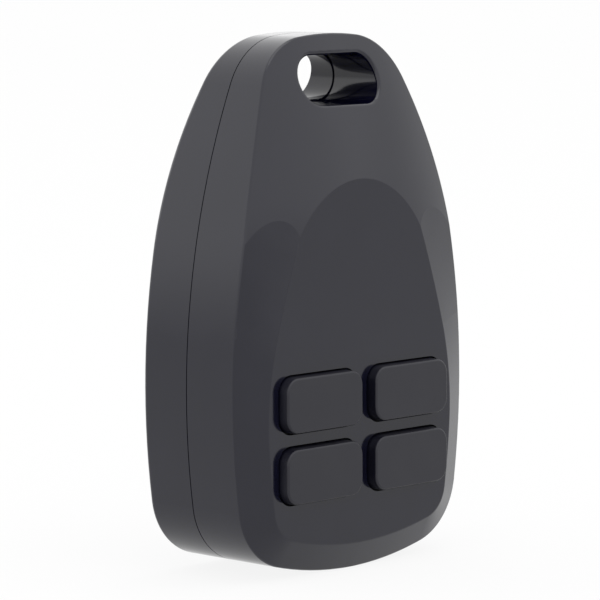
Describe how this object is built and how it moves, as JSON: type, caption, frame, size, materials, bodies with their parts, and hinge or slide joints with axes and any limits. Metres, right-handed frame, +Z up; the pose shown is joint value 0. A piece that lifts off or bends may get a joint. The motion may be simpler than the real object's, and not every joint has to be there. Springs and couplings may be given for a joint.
{
  "type": "kinetic wireless switch",
  "caption": "Battery-free radio key fob: a gloss black two-part case with a keyring slot and an arched key field of matt push buttons over an electromagnetic harvester",
  "frame": {"origin": "centre of the bounding box's bottom: under the middle of the whole depth, at the case's lowest point", "axes": "+Z up along the height to the keyring slot, -Y out of the button face, +X to the right as seen from the front"},
  "size_m": [0.0444, 0.0208, 0.072],
  "materials": {
    "case": "polished, black",
    "button": "fine matt texture, black",
    "screw_steel": "blackened steel",
    "silicone": "matt silicone",
    "carbon": "conductive rubber",
    "board": "solder resist",
    "gold": "gold plated",
    "can_steel": "tinned",
    "capacitor": "ceramic",
    "chip": "moulded",
    "copper": "enamelled copper",
    "frame_plastic": "moulded",
    "core_steel": "bare",
    "bobbin_plastic": "moulded",
    "tin": "tinned",
    "carrier_plastic": "moulded",
    "magnet": "nickel plated",
    "pin_steel": "ground",
    "spring_steel": "bright",
    "press_plastic": "moulded"
  },
  "bodies": {
    "housing": {"front_shell": "case", "rear_shell": "case", "case_screws": "screw_steel", "key_mat": "silicone", "circuit_board": "board", "contact_pads": "gold", "radio_module": "can_steel", "storage_capacitors": "capacitor", "crystal": "can_steel", "rectifier_diodes": "chip", "antenna_wire": "copper", "harvester_frame": "frame_plastic", "iron_core": "core_steel", "coil_bobbin": "bobbin_plastic", "coil_winding": "copper", "terminal_pins": "tin", "armature_pin": "pin_steel", "leaf_spring": "spring_steel", "press_frame_pins": "pin_steel", "return_springs": "spring_steel"},
    "key_upper_left": {"button_upper_left": "button", "contact_pill_upper_left": "carbon"},
    "key_upper_right": {"button_upper_right": "button", "contact_pill_upper_right": "carbon"},
    "key_lower_left": {"button_lower_left": "button", "contact_pill_lower_left": "carbon"},
    "key_lower_right": {"button_lower_right": "button", "contact_pill_lower_right": "carbon"},
    "press_bow": {"press_frame": "press_plastic"},
    "armature": {"armature_carrier": "carrier_plastic", "magnet": "magnet", "pole_plates": "core_steel"}
  },
  "joints": [
    {"name": "upper_left_press", "type": "slide", "parent": "housing", "child": "key_upper_left", "axis": [0, 1, 0], "range_m": [0, 0.0015], "stiffness_N_per_m": 900, "springref_m": -0.0005, "deforming": ["key_mat"]},
    {"name": "upper_right_press", "type": "slide", "parent": "housing", "child": "key_upper_right", "axis": [0, 1, 0], "range_m": [0, 0.0015], "stiffness_N_per_m": 900, "springref_m": -0.0005, "deforming": ["key_mat"]},
    {"name": "lower_left_press", "type": "slide", "parent": "housing", "child": "key_lower_left", "axis": [0, 1, 0], "range_m": [0, 0.0015], "stiffness_N_per_m": 900, "springref_m": -0.0005, "deforming": ["key_mat"]},
    {"name": "lower_right_press", "type": "slide", "parent": "housing", "child": "key_lower_right", "axis": [0, 1, 0], "range_m": [0, 0.0015], "stiffness_N_per_m": 900, "springref_m": -0.0005, "deforming": ["key_mat"]},
    {"name": "press_frame_hinge", "type": "hinge", "parent": "housing", "child": "press_bow", "pos_m": [0, 0.00108, 0.04], "axis": [1, 0, 0], "range_deg": [0, 3.2], "stiffness_Nm_per_rad": 1.5, "springref_deg": -1.72, "deforming": ["return_springs", "leaf_spring"]},
    {"name": "armature_rock", "type": "hinge", "parent": "housing", "child": "armature", "pos_m": [0, 0.00248, 0.0172], "axis": [1, 0, 0], "range_deg": [0, 12]}
  ],
  "couplings": [
    {"joint": "armature_rock", "follows": "press_frame_hinge", "ratio": 2.5}
  ]
}
